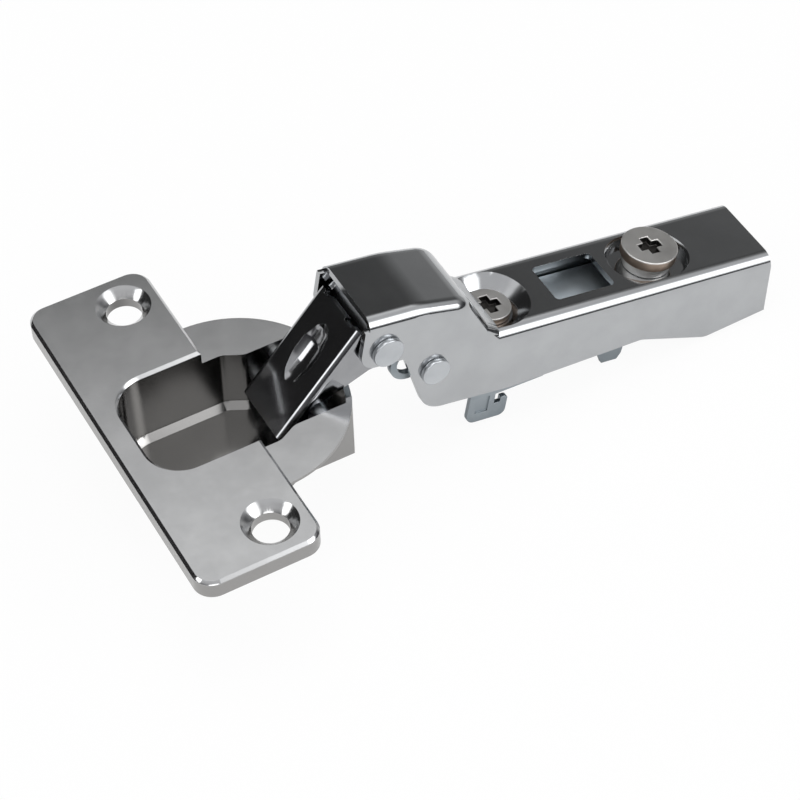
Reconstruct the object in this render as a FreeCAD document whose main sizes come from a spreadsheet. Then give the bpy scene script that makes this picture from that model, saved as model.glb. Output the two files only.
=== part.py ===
"""Cranked furniture hinge: a pressed cup with its flange, two links and a cranked clip-on arm.

Millimetres. The origin is the centre of the 35 mm cup on the flange's underside, which lies on the door.
+X points from the cup along the arm, +Z out of the door, and the flange runs along Y.
The hinge is drawn open. The arm has its own frame at its front rivet, pitched down from X,
and each link has its own frame at its pin in the cup.
"""
import FreeCAD
import Part
import Sketcher
import math
import os
import re

Vector = FreeCAD.Vector
Y_AXIS = Vector(0, 1, 0)

DOC = FreeCAD.newDocument("cranked_hinge")
SHEET = DOC.addObject("Spreadsheet::Sheet", "Sizes")
PARTS = []

# Shares: where an outline meets the ring of an eye, in radii of the eye
EYE_CORNER = 0.85
EYE_SIDE = 0.9
ARCH_BACK = 0.8
ARCH_TOP = 0.6
ARCH_INSIDE = 0.5
ARCH_ROOF = 0.2
# the gaps between the outer link's teeth, in shares of its half width
TOOTH_GAPS = ((-0.66, -0.33), (0.5, 0.7))
# a drawn wall as a share of the sheet
DRAWN_WALL = 0.7
DENT_RUNS = 7
CAM_STEPS = 24

# Driving dimensions
SIZES = {
    # cup and flange
    "cup_sheet": 0.9,
    "boss_radius": 17.4,
    "boss_depth": 11.4,
    "flange_ahead": 2.2,
    "flange_rear": 0.2,
    "flange_height": 3.0,
    "flange_corner": 3.0,
    "flange_edge": 0.45,
    "flange_end": 6.05,
    "screw_x": 6.0,
    "screw_spacing": 48.0,
    "screw_hole": 2.75,
    "screw_sink": 1.45,
    "seat_land": 0.4,
    "bowl_wide": 9.6,
    "bowl_corner": 5.5,
    "corner_room": 0.09954,
    "bowl_narrow": 8.0,
    "shoulder_start": 3.0,
    "shoulder_end": 6.0,
    "shoulder_radius": 2.5,
    "floor_edge": 1.0,
    "ear_top": 0.6,
    "ear_sheet": 0.5,
    "rear_gap_play": 1.2,
    "rear_gap_depth": 1.2,
    # pivots of the linkage, hinge open
    "pin_one_inset": 9.3,
    "pin_one_z": -5.55,
    "pin_two_inset": 6.3,
    "pin_two_z": -1.3,
    "knuckle_ahead": 13.6,
    "knuckle_z": 7.4,
    "arm_pitch": 10.4,
    "rivet_two_along": 9.1,
    "rivet_two_drop": 6.8,
    "pin_radius": 1.2,
    "pin_reach": 9.4,
    "pin_bar": 10.3,
    "rivet_one_radius": 1.75,
    "rivet_one_head": 2.46,
    "rivet_two_radius": 1.5,
    "rivet_two_head": 2.3,
    "rivet_head_height": 0.9,
    "running_fit": 0.05,
    # outer link
    "link_play": 0.5,
    "link_sheet": 1.0,
    "link_tilt": 47.4,
    "link_face": 3.95,
    "link_low": 1.5,
    "link_high": 19.2,
    "link_bend": 1.2,
    "link_eye_low": 2.4,
    "link_eye_high": 3.4,
    "link_tooth": 0.5,
    "link_waist_far": 9.1,
    "pin_way": 1.8,
    "link_waist": 0.1,
    "dent_length": 9.7,
    "dent_radius": 3.4,
    "dent_rise": 2.3,
    "dent_place": 10.6,
    "dent_reach": 2.4,
    "dent_start": 0.9,
    "dent_wall": 0.7,
    # inner link
    "inner_play": 0.3,
    "inner_sheet": 1.0,
    "inner_eye": 2.0,
    "arch_start_x": 1.5,
    "arch_start_z": 2.4,
    "arch_near": 5.4,
    "arch_far": 12.8,
    "arch_over": 4.8,
    "arch_under": 2.6,
    "slot_back": 2.56,
    "slot_middle": 0.36,
    "slot_play": 0.67,
    "slot_wall": 1.1,
    # closing spring
    "spring_strip": 0.5,
    "spring_toe": 1.5,
    "spring_lever": 4.8,
    # arm
    "arm_half": 7.5,
    "arm_sheet": 1.0,
    "arm_bend": 2.2,
    "nose_front": 4.1,
    "nose_lip": 3.3,
    "nose_side": 4.4,
    "nose_top": 6.0,
    "nose_flat": 5.5,
    "nose_drop": 1.2,
    "crown_radius": 20.0,
    "crank_top": 13.6,
    "crank_foot": 19.2,
    "crank_round": 4.6,
    "foot_round": 2.5,
    "rear_top": -3.35,
    "arm_end": 71.5,
    "end_lean": 1.4,
    "lobe_drop": 2.9,
    "lobe_round": 2.8,
    "notch_x": 3.4,
    "notch_round": 0.5,
    "heel_x": 8.9,
    "heel_drop": 15.0,
    "heel_round": 4.5,
    "skirt_front": 15.4,
    "skirt_waist_x": 47.6,
    "waist_rise": 3.6,
    "skirt_bump_x": 60.5,
    "skirt_bump": 17.0,
    "end_rise": 2.3,
    "skirt_round": 3.0,
    "window_near": 32.2,
    "window_far": 42.8,
    "window_half": 3.9,
    "dish_place": 22.5,
    "dish_rim": 6.3,
    "dish_floor": 3.9,
    "dish_depth": 2.3,
    "well_place": 51.2,
    "well_half": 6.6,
    "well_width": 5.1,
    "well_depth": 1.5,
    "rim_round": 0.35,
    # adjusting screws
    "side_screw_head": 3.5,
    "side_screw_height": 1.3,
    "side_screw_shank": 2.0,
    "side_screw_length": 6.6,
    "cam_head": 4.45,
    "cam_head_height": 3.7,
    "cam_collar": 3.8,
    "cam_collar_height": 1.9,
    "cam_neck": 3.3,
    "cam_shank": 1.8,
    "cam_rise": 1.2,
    "cam_range": 150.0,
    "cam_disc": 0.9,
    "nib_half": 0.8,
    "recess_half": 1.9,
    "recess_width": 0.75,
    "recess_depth": 1.1,
    # adjusting plate and clip carrier
    "plate_top": -8.0,
    "plate_sheet": 1.0,
    "plate_play": 0.2,
    "plate_start": 17.4,
    "plate_tail": 6.8,
    "plate_flange": 4.4,
    "guide_sheet": 0.8,
    "nut_wall": 1.5,
    "nut_depth": 2.4,
    "carrier_sheet": 0.8,
    "carrier_gap": 0.3,
    "carrier_start": 18.6,
    "carrier_plate_start": 28.5,
    "carrier_end": 63.5,
    "carrier_skirt": 14.6,
    "hook_drop": 23.5,
    "hook_long": 7.0,
    "hook_stem": 4.6,
    "hook_slot": 1.1,
    "hook_finger": 4.0,
    "hook_mouth": 1.0,
    "neck_rise": 6.0,
    "neck_start": 3.0,
    "neck_end": 5.5,
    "dimple_start": 1.3,
    "dimple_end": 3.6,
    "dimple_low": 1.8,
    "dimple_high": 5.0,
    "slide_play": 0.1,
    # catch
    "catch_place": 41.5,
    "catch_height": -12.8,
    "catch_play": 0.7,
    "catch_sheet": 0.8,
    "catch_pin": 1.0,
    "catch_end": 68.4,
    "catch_tip": 20.3,
    "catch_nose": 1.7,
    "catch_slim": 0.3,
    "claw_start": 1.8,
    "claw_width": 4.1,
    "claw_edge": 1.2,
    "lever_drop": 1.44,
    "lever_plate": 13.0,
    "finger_long": 4.0,
    "catch_strip": 0.4,
}


def derive(given):
    """Sizes that follow from the driving ones.

    The cup's pivots keep their distance from the boss's rim, and the channels nest in each other:
    the links and the plate in the arm, the carrier in the plate and the catch in the carrier.
    """
    given["screw_seat"] = given["screw_hole"] + given["screw_sink"] + given["seat_land"]
    given["flange_half"] = given["screw_spacing"] / 2 + given["flange_end"]
    given["flange_front"] = given["boss_radius"] + given["flange_ahead"]
    # the corners of the bowl's outside just clear the boss's rim
    reach = given["boss_radius"] - given["corner_room"] - given["cup_sheet"] - given["bowl_corner"]
    side = given["bowl_wide"] - given["bowl_corner"]
    given["bowl_front"] = given["bowl_corner"] + math.sqrt(reach ** 2 - side ** 2)
    given["pin_one_x"] = given["boss_radius"] - given["pin_one_inset"]
    given["pin_two_x"] = given["boss_radius"] - given["pin_two_inset"]
    given["knuckle_x"] = given["pin_one_x"] + given["knuckle_ahead"]
    given["link_half"] = given["arm_half"] - given["arm_sheet"] - given["link_play"]
    given["inner_half"] = given["link_half"] - given["link_sheet"] - given["inner_play"]
    given["spring_half"] = given["inner_half"] - given["inner_sheet"] - given["inner_play"]
    given["rear_gap_half"] = given["link_half"] + given["rear_gap_play"]
    given["skirt_waist"] = given["skirt_bump"] - given["waist_rise"]
    given["skirt_end"] = given["skirt_bump"] - given["end_rise"]
    given["plate_end"] = given["well_place"] + given["plate_tail"]
    given["plate_half"] = given["arm_half"] - given["arm_sheet"] - given["plate_play"]
    given["carrier_half"] = given["plate_half"] - given["guide_sheet"] - given["slide_play"]
    given["cam_radius"] = (given["carrier_half"] - given["carrier_sheet"] - given["slide_play"]
                           - given["cam_rise"])
    given["catch_half"] = given["carrier_half"] - given["carrier_sheet"] - given["catch_play"]
    pitch = math.radians(given["arm_pitch"])
    along, drop = given["rivet_two_along"], given["rivet_two_drop"]
    rivet_x = given["knuckle_x"] + along * math.cos(pitch) - drop * math.sin(pitch)
    rivet_z = given["knuckle_z"] - along * math.sin(pitch) - drop * math.cos(pitch)
    reach_x, reach_z = rivet_x - given["pin_two_x"], rivet_z - given["pin_two_z"]
    tilt = math.radians(given["link_tilt"])
    span_x = given["knuckle_x"] - given["pin_one_x"]
    span_z = given["knuckle_z"] - given["pin_one_z"]
    gap_x, gap_z = given["pin_two_x"] - given["pin_one_x"], given["pin_two_z"] - given["pin_one_z"]
    return {
        "inner_length": math.hypot(reach_x, reach_z),
        "inner_tilt": math.degrees(math.atan2(reach_z, reach_x)),
        "knuckle_along": span_x * math.cos(tilt) + span_z * math.sin(tilt),
        "knuckle_across": span_z * math.cos(tilt) - span_x * math.sin(tilt),
        "pin_two_along": gap_x * math.cos(tilt) + gap_z * math.sin(tilt),
        "pin_two_across": gap_z * math.cos(tilt) - gap_x * math.sin(tilt),
        "pin_spacing": math.hypot(gap_x, gap_z),
        "pin_tilt": math.degrees(math.atan2(gap_z, gap_x)),
        **under_arm(given),
    }


def under_arm(given):
    """Corners of the arm's inner face below its top: the outer outline moved in by the sheet."""
    sheet = given["arm_sheet"]
    outer = [(given["nose_flat"] - 1, given["nose_top"]), (given["nose_flat"], given["nose_top"]),
             (given["crank_top"], given["nose_top"] - given["nose_drop"]),
             (given["crank_foot"], given["rear_top"]), (given["crank_foot"] + 1, given["rear_top"])]
    inner = []
    for before, here, after in zip(outer, outer[1:], outer[2:]):
        back = math.atan2(here[1] - before[1], here[0] - before[0])
        ahead = math.atan2(after[1] - here[1], after[0] - here[0])
        middle, half = (back + ahead) / 2, (ahead - back) / 2
        reach = sheet / math.cos(half)
        inner.append((here[0] + reach * math.sin(middle), here[1] - reach * math.cos(middle)))
    return {"under_crown": inner[0][0], "under_crank_x": inner[1][0], "under_crank_z": inner[1][1],
            "under_foot": inner[2][0]}


SIZES.update(derive(SIZES))
for row, (alias, amount) in enumerate(SIZES.items(), start=1):
    SHEET.set(f"A{row}", alias)
    SHEET.set(f"B{row}", f"{amount:.6f}")
    SHEET.setAlias(f"B{row}", alias)
DOC.recompute()


def cell(text):
    """An expression in the sheet's words, as the document writes it."""
    return re.sub(r"[a-z]\w*", lambda word: word.group() if word.group() in ("sqrt", "cos", "sin")
                  else "Sizes." + word.group(), text)


def amount_of(text):
    """The number that an expression gives now."""
    found = SHEET.evalExpression(text)
    return float(getattr(found, "Value", found))


def frame(x, z, turn):
    """A placement at (x, 0, z), turned about Y so that its own X axis rises by turn degrees."""
    return FreeCAD.Placement(Vector(x, 0, z), FreeCAD.Rotation(Y_AXIS, -turn))


CUP_FRAME = frame(0, 0, 0)
OUTER_FRAME = frame(SIZES["pin_one_x"], SIZES["pin_one_z"], SIZES["link_tilt"])
INNER_FRAME = frame(SIZES["pin_two_x"], SIZES["pin_two_z"], SIZES["inner_tilt"])
SPRING_FRAME = frame(SIZES["pin_one_x"], SIZES["pin_one_z"], 0)
PIN_FRAME = frame((SIZES["pin_one_x"] + SIZES["pin_two_x"]) / 2, (SIZES["pin_one_z"] + SIZES["pin_two_z"]) / 2,
                  SIZES["pin_tilt"])
ARM_FRAME = frame(SIZES["knuckle_x"], SIZES["knuckle_z"], -SIZES["arm_pitch"])


def on_arm(along, up):
    """A placement in the arm's frame, moved along the arm and up from it."""
    place = FreeCAD.Placement(Vector(amount_of(along), 0, amount_of(up)), FreeCAD.Rotation())
    return ARM_FRAME.multiply(place)


# Drawing helpers
def start_body(name, place):
    """A new body, which becomes the node of that name."""
    body = DOC.addObject("PartDesign::Body", name)
    body.Label = name
    body.Placement = place
    PARTS.append(body)
    return body


def start_sketch(body, name, role, offset=None):
    """A sketch on one of the body's own planes, moved along its normal by an expression."""
    made = body.newObject("Sketcher::SketchObject", f"{body.Name}_{name}")
    support = [item for item in body.Origin.OriginFeatures if item.Role == role][0]
    made.AttachmentSupport = [(support, "")]
    made.MapMode = "FlatFace"
    if offset is not None:
        made.setExpression("AttachmentOffset.Base.z", cell(offset))
    return made


def bind(made, kind, text, *where):
    """A dimension whose value is an expression."""
    index = made.addConstraint(Sketcher.Constraint(kind, *where, amount_of(text)))
    made.setExpression(f"Constraints[{index}]", cell(text))


def bind_point(made, geometry, corner, x, z):
    """A point's place from the sketch's origin. None leaves that coordinate to the shape."""
    if x is not None:
        bind(made, "DistanceX", x, -1, 1, geometry, corner)
    if z is not None:
        bind(made, "DistanceY", z, -1, 1, geometry, corner)


def outline(made, corners):
    """A closed outline. A corner is (x, z), or (x, z, arc) where an arc leads on from it.

    arc is (centre x, centre z, radius). A corner beside an arc leaves one coordinate as None,
    given as a pair (None, guess), so that the arc stays free to meet it.
    """
    def known(value):
        return None if isinstance(value, tuple) else value

    def guess(value):
        return amount_of(value[1] if isinstance(value, tuple) else value)

    first = made.GeometryCount
    count = len(corners)
    ends = []
    for index, corner in enumerate(corners):
        after = corners[(index + 1) % count]
        start = Vector(guess(corner[0]), guess(corner[1]), 0)
        stop = Vector(guess(after[0]), guess(after[1]), 0)
        if len(corner) == 2:
            made.addGeometry(Part.LineSegment(start, stop), False)
            ends.append((1, 2))
            continue
        centre = Vector(amount_of(corner[2][0]), amount_of(corner[2][1]), 0)
        from_angle = math.atan2(start.y - centre.y, start.x - centre.x)
        to_angle = math.atan2(stop.y - centre.y, stop.x - centre.x)
        forward = (to_angle - from_angle) % (2 * math.pi) < math.pi + 1e-6
        circle = Part.Circle(centre, Vector(0, 0, 1), amount_of(corner[2][2]))
        if forward:
            made.addGeometry(Part.ArcOfCircle(circle, from_angle, to_angle), False)
        else:
            made.addGeometry(Part.ArcOfCircle(circle, to_angle, from_angle), False)
        ends.append((1, 2) if forward else (2, 1))
        bind_point(made, first + index, 3, corner[2][0], corner[2][1])
        bind(made, "Radius", corner[2][2], first + index)
    for index, corner in enumerate(corners):
        after = (index + 1) % count
        made.addConstraint(Sketcher.Constraint("Coincident", first + index, ends[index][1],
                                               first + after, ends[after][0]))
        bind_point(made, first + index, ends[index][0], known(corner[0]), known(corner[1]))


def mirrored(half):
    """A plan outline symmetric about X, from the corners of its lower half, front to rear."""
    def flip(corner):
        x, y = corner[0], corner[1]
        return (x, (None, f"-({y[1]})")) if isinstance(y, tuple) else (x, f"-({y})")

    upper = []
    for index in range(len(half) - 1, -1, -1):
        turned = flip(half[index])
        if index > 0 and len(half[index - 1]) == 3:
            arc = half[index - 1][2]
            turned = (*turned, (arc[0], f"-({arc[1]})", arc[2]))
        upper.append(turned)
    return list(half) + upper


def ring(made, x, z, radius):
    """A circle at (x, z)."""
    place = Vector(amount_of(x), amount_of(z), 0)
    index = made.addGeometry(Part.Circle(place, Vector(0, 0, 1), amount_of(radius)), False)
    bind_point(made, index, 3, x, z)
    bind(made, "Radius", radius, index)


def slot(made, near, far, z, radius):
    """A slot along X with round ends, between the centres near and far."""
    outline(made, [
        (near, (None, f"{z} - ({radius})")),
        (far, (None, f"{z} - ({radius})"), (far, z, radius)),
        (far, (None, f"{z} + {radius}")),
        (near, (None, f"{z} + {radius}"), (near, z, radius)),
    ])


def feature(body, kind, made, **settings):
    """A feature of the body, made from a sketch."""
    item = body.newObject(f"PartDesign::{kind}", f"{made.Name}_{kind}")
    item.Profile = made
    made.Visibility = False
    for name, value in settings.items():
        setattr(item, name, value)
    body.Tip = item
    return item


def pad(body, made, length, side="One side", reverse=False):
    item = feature(body, "Pad", made, SideType=side, Reversed=reverse)
    item.setExpression("Length", cell(length))
    return item


def pocket(body, made, length, side="One side", reverse=False):
    """A cut, which must take something away."""
    before = solid_of(body).Volume
    item = feature(body, "Pocket", made, SideType=side, Reversed=reverse)
    item.setExpression("Length", cell(length))
    DOC.recompute()
    if solid_of(body).Volume > before - 1e-3:
        raise RuntimeError(f"{item.Name} cuts nothing")
    return item


def solid_of(body):
    DOC.recompute()
    return body.Tip.Shape


def dress(body, kind, name, edges, amount):
    """A fillet or chamfer on the named edges of what is there so far."""
    if not edges:
        raise RuntimeError(f"{name} finds no edges")
    base = body.Tip
    item = body.newObject(f"PartDesign::{kind}", f"{body.Name}_{name}")
    item.Base = (base, edges)
    item.setExpression("Radius" if kind == "Fillet" else "Size", cell(amount))
    body.Tip = item
    DOC.recompute()
    if not item.Shape.isValid() or "Invalid" in item.State or "Error" in item.State:
        raise RuntimeError(f"{item.Name} fails: {item.State}")
    return item


def edges_where(body, test):
    """Names of the edges whose every sampled point passes a test on (x, y, z)."""
    names = []
    for index, edge in enumerate(solid_of(body).Edges, start=1):
        first, last = edge.ParameterRange
        points = [edge.valueAt(first + share * (last - first)) for share in (0.0, 0.35, 0.7, 1.0)]
        if all(test(point) for point in points):
            names.append(f"Edge{index}")
    return names


def near(value, text, slack=0.02):
    return abs(value - amount_of(text)) < slack


def upright_at(body, places):
    """Edges along Y that stand at the given (x, z) places."""
    def test(point):
        return any(near(point.x, x) and near(point.z, z) for x, z in places)
    return edges_where(body, test)


# Cup: one pressed piece
def bowl_half(wall):
    """The lower half of the bowl's plan, moved out by a wall."""
    wide = f"bowl_wide + {wall}"
    narrow = f"bowl_narrow + {wall}"
    front = f"bowl_front + {wall}"
    corner = f"bowl_corner + {wall}"
    centre_x = "-(bowl_front - bowl_corner)"
    centre_y = "-(bowl_wide - bowl_corner)"
    return [
        ((None, f"-({front})"), centre_y, (centre_x, centre_y, corner)),
        (centre_x, (None, f"-({wide})")),
        ("shoulder_start", f"-({wide})"),
        ("shoulder_end", f"-({narrow})"),
    ]


def round_shoulders(body, name, wall, radius):
    """Soften the bends where the bowl narrows."""
    def test(point):
        first = near(point.x, "shoulder_start") and near(abs(point.y), f"bowl_wide + {wall}")
        return first or near(point.x, "shoulder_end") and near(abs(point.y), f"bowl_narrow + {wall}")
    dress(body, "Fillet", name, edges_where(body, test), radius)


def make_cup():
    body = start_body("cup", CUP_FRAME)
    disc = start_sketch(body, "disc", "XY_Plane", "-boss_depth")
    ring(disc, "0", "0", "boss_radius")
    pad(body, disc, "boss_depth + ear_top")
    # below the ears only the bowl is left of the disc
    trim = start_sketch(body, "trim", "XY_Plane", "-boss_depth")
    ring(trim, "0", "0", "boss_radius + flange_corner")
    outline(trim, mirrored(bowl_half("cup_sheet") + [("boss_radius + cup_sheet", "-(bowl_narrow + cup_sheet)")]))
    pocket(body, trim, "boss_depth + ear_top - ear_sheet", reverse=True)
    round_shoulders(body, "outer_shoulder", "cup_sheet", "shoulder_radius")
    edges = edges_where(body, lambda p: near(p.z, "-boss_depth"))
    dress(body, "Chamfer", "bottom_edge", edges, "floor_edge + cup_sheet / 2")
    # flange: a tray with a skirt, and a collar round the bowl
    plate = start_sketch(body, "plate", "XY_Plane")
    outline(plate, [("-flange_front", "-flange_half"), ("-flange_rear", "-flange_half"),
                    ("-flange_rear", "flange_half"), ("-flange_front", "flange_half")])
    pad(body, plate, "flange_height")
    corners = edges_where(body, lambda p: near(abs(p.y), "flange_half") and
                          (near(p.x, "-flange_front") or near(p.x, "-flange_rear")))
    dress(body, "Fillet", "plan_corner", corners, "flange_corner")
    bowl = start_sketch(body, "bowl", "XY_Plane", "flange_height")
    inner_rear = "sqrt((boss_radius - cup_sheet)^2 - bowl_narrow^2)"
    rear_wall = ("0", "0", "boss_radius - cup_sheet")
    outline(bowl, mirrored(bowl_half("0") + [((None, inner_rear), "-bowl_narrow", rear_wall)]))
    pocket(body, bowl, "flange_height + boss_depth - cup_sheet")
    round_shoulders(body, "inner_shoulder", "0", "shoulder_radius")
    floor = edges_where(body, lambda p: near(p.z, "-boss_depth + cup_sheet"))
    dress(body, "Chamfer", "floor_edge", floor, "floor_edge")
    rim = edges_where(body, lambda p: near(p.z, "flange_height"))
    dress(body, "Chamfer", "rolled_edge", rim, "flange_edge")
    hollow_flange(body)
    sink_screw_holes(body)
    # the rear wall is lower where the links pass
    gap = start_sketch(body, "gap", "XY_Plane", "ear_top")
    outline(gap, [("boss_radius - 4 * cup_sheet", "-rear_gap_half"), ("boss_radius + cup_sheet", "-rear_gap_half"),
                  ("boss_radius + cup_sheet", "rear_gap_half"), ("boss_radius - 4 * cup_sheet", "rear_gap_half")])
    pocket(body, gap, "rear_gap_depth")
    holes = start_sketch(body, "pin_holes", "XZ_Plane")
    ring(holes, "pin_one_x", "pin_one_z", "pin_radius + running_fit")
    ring(holes, "pin_two_x", "pin_two_z", "pin_radius + running_fit")
    pocket(body, holes, "2 * (bowl_narrow + 2 * cup_sheet)", "Symmetric")


def hollow_flange(body):
    """The flange's underside is open between the bowl and the two screw seats."""
    tray = start_sketch(body, "tray", "XY_Plane", "-ear_sheet")
    inner_x = ("-(flange_front - cup_sheet)", "-(flange_rear + cup_sheet)")
    inner_y = ("bowl_wide + 2 * cup_sheet", "screw_spacing / 2 - screw_seat")
    for sign in ("-", ""):
        outline(tray, [(inner_x[0], f"{sign}({inner_y[0]})"), (inner_x[1], f"{sign}({inner_y[0]})"),
                       (inner_x[1], f"{sign}({inner_y[1]})"), (inner_x[0], f"{sign}({inner_y[1]})")])
    pocket(body, tray, "ear_sheet + flange_height - cup_sheet", reverse=True)


def sink_screw_holes(body):
    """Two countersunk screw holes."""
    drill = start_sketch(body, "screw_holes", "XY_Plane", "flange_height")
    ring(drill, "-screw_x", "-screw_spacing / 2", "screw_hole")
    ring(drill, "-screw_x", "screw_spacing / 2", "screw_hole")
    pocket(body, drill, "flange_height + ear_sheet")

    def mouth(point):
        span = math.hypot(point.x - amount_of("-screw_x"), abs(point.y) - amount_of("screw_spacing / 2"))
        return near(point.z, "flange_height") and near(span, "screw_hole")
    dress(body, "Chamfer", "countersink", edges_where(body, mouth), "screw_sink")


def make_double_pin():
    """One bent pin: its two legs are the axes of the links in the cup."""
    body = start_body("double_pin", PIN_FRAME)
    legs = start_sketch(body, "legs", "XZ_Plane", "-pin_bar - pin_radius")
    ring(legs, "-pin_spacing / 2", "0", "pin_radius")
    ring(legs, "pin_spacing / 2", "0", "pin_radius")
    pad(body, legs, "pin_reach + pin_bar + pin_radius")
    bar = start_sketch(body, "bar", "YZ_Plane", "-pin_spacing / 2")
    ring(bar, "pin_bar", "0", "pin_radius")
    pad(body, bar, "pin_spacing")


def turn(body, made, kind, angle=360, reverse=False):
    """A profile turned about its sketch's upright axis."""
    item = feature(body, kind, made, Reversed=reverse)
    item.ReferenceAxis = (made, ["V_Axis"])
    item.Angle = angle
    return item


# Links
def make_outer_link():
    """A pressed channel: a plate with a dent, and two walls with eyes for the pin and the rivet."""
    body = start_body("outer_link", OUTER_FRAME)
    wall = start_sketch(body, "wall", "XZ_Plane")
    outline(wall, [
        ("-link_low", "link_face"), ("link_high", "link_face"), ("link_high", "knuckle_across"),
        ("knuckle_along", "knuckle_across - link_eye_high"),
        ("knuckle_along - link_eye_high / 2", f"knuckle_across - link_eye_high * {EYE_CORNER}"),
        ("link_waist_far", "link_waist"),
        ("pin_two_along + pin_way", "pin_two_across + pin_way / 2"),
        ("pin_two_along + pin_way / 2", "pin_two_across + pin_way"),
        ("pin_two_along - pin_way / 2", "pin_two_across + pin_way"),
        ("pin_two_along - pin_way", "pin_two_across + pin_way / 2"),
        (f"link_eye_low * {EYE_SIDE}", "0"), ("link_eye_low / 2", f"-link_eye_low * {EYE_CORNER}"),
        ("-link_low", "0"),
    ])
    pad(body, wall, "2 * link_half", "Symmetric")
    eyes = start_sketch(body, "eyes", "XZ_Plane")
    ring(eyes, "0", "0", "link_eye_low")
    ring(eyes, "knuckle_along", "knuckle_across", "link_eye_high")
    pad(body, eyes, "2 * link_half", "Symmetric")
    inside = start_sketch(body, "inside", "XZ_Plane")
    outline(inside, [("-2 * link_face", "link_face - link_sheet"), ("2 * link_high", "link_face - link_sheet"),
                     ("2 * link_high", "-3 * link_face"), ("-2 * link_face", "-3 * link_face")])
    pocket(body, inside, "2 * (link_half - link_sheet)", "Symmetric")
    bends = edges_where(body, lambda p: near(p.z, "link_face") and near(abs(p.y), "link_half"))
    dress(body, "Fillet", "bend", bends, "link_bend")
    bores = start_sketch(body, "bores", "XZ_Plane")
    ring(bores, "0", "0", "pin_radius + running_fit")
    ring(bores, "knuckle_along", "knuckle_across", "rivet_one_radius + running_fit")
    pocket(body, bores, "2 * link_half + link_sheet", "Symmetric")
    press_dent(body)
    # three teeth are left of the plate's upper end
    teeth = start_sketch(body, "teeth", "XY_Plane", "link_face")
    for start, stop in TOOTH_GAPS:
        low, high = f"link_half * {start}", f"link_half * {stop}"
        outline(teeth, [("link_high - link_tooth", low), ("link_high + link_tooth", low),
                        ("link_high + link_tooth", high), ("link_high - link_tooth", high)])
    pocket(body, teeth, "link_sheet")


def press_dent(body):
    """A long dent in the outer link's plate, with its bulge on the inside."""
    depth = "dent_radius - dent_rise"
    under = start_sketch(body, "bulge", "XY_Plane", f"link_face - ({depth}) - dent_wall")
    slot(under, "dent_place - dent_start", "dent_place + dent_reach", "0", "dent_radius - dent_wall")
    pad(body, under, f"{depth} + dent_wall - link_sheet / 2")
    # the dent is a barrel turned about a line above the plate, in short straight runs
    made = start_sketch(body, "dent", "XZ_Plane")
    made.setExpression("AttachmentOffset.Base.y", cell("link_face + dent_rise"))
    barrel = []
    for step in range(DENT_RUNS + 1):
        share = 2 * step / DENT_RUNS - 1
        barrel.append((f"dent_place - {share:.6f} * dent_length", f"dent_radius * {1 - share ** 2:.6f}"))
    outline(made, barrel)
    item = feature(body, "Groove", made)
    item.ReferenceAxis = (made, ["H_Axis"])
    item.Angle = 360


def make_inner_link():
    """A small arched channel between the second pin and the second rivet."""
    body = start_body("inner_link", INNER_FRAME)
    wall = start_sketch(body, "wall", "XZ_Plane")
    outline(wall, [
        (f"-inner_eye * {ARCH_BACK}", f"inner_eye * {ARCH_TOP}"), ("arch_start_x", "arch_start_z"),
        ("arch_near", "arch_over"), ("arch_far", "arch_over"),
        ("inner_length", "slot_middle + rivet_two_radius + slot_play + slot_wall"),
        ("inner_length - slot_back", "slot_middle - rivet_two_radius - slot_play - slot_wall"),
        ("inner_length - slot_back - 2 * slot_wall", "-slot_middle"),
        ("arch_far", "arch_under"), ("arch_near", "arch_under"), ("inner_eye", "0"),
        ("0", f"-inner_eye * {ARCH_INSIDE}"),
    ])
    pad(body, wall, "2 * inner_half", "Symmetric")
    eyes = start_sketch(body, "eyes", "XZ_Plane")
    ring(eyes, "0", "0", "inner_eye")
    slot(eyes, "inner_length - slot_back", "inner_length", "slot_middle",
         "rivet_two_radius + slot_play + slot_wall")
    pad(body, eyes, "2 * inner_half", "Symmetric")
    inside = start_sketch(body, "inside", "XZ_Plane")
    outline(inside, [
        ("-2 * inner_eye", "-2 * arch_over"), ("-2 * inner_eye", f"inner_eye * {ARCH_ROOF}"),
        (f"-inner_eye * {ARCH_INSIDE}", f"inner_eye * {ARCH_ROOF}"),
        ("arch_start_x + inner_sheet / 2", "arch_start_z - inner_sheet"),
        ("arch_near", "arch_over - inner_sheet"), ("arch_far", "arch_over - inner_sheet"),
        ("inner_length", "slot_middle + rivet_two_radius + slot_play"),
        ("2 * inner_length", "slot_middle + rivet_two_radius + slot_play"),
        ("2 * inner_length", "-2 * arch_over"),
    ])
    pocket(body, inside, "2 * (inner_half - inner_sheet)", "Symmetric")
    bores = start_sketch(body, "bores", "XZ_Plane")
    ring(bores, "0", "0", "pin_radius + running_fit")
    slot(bores, "inner_length - slot_back", "inner_length", "slot_middle", "rivet_two_radius + slot_play")
    pocket(body, bores, "2 * inner_half + inner_sheet", "Symmetric")


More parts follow.
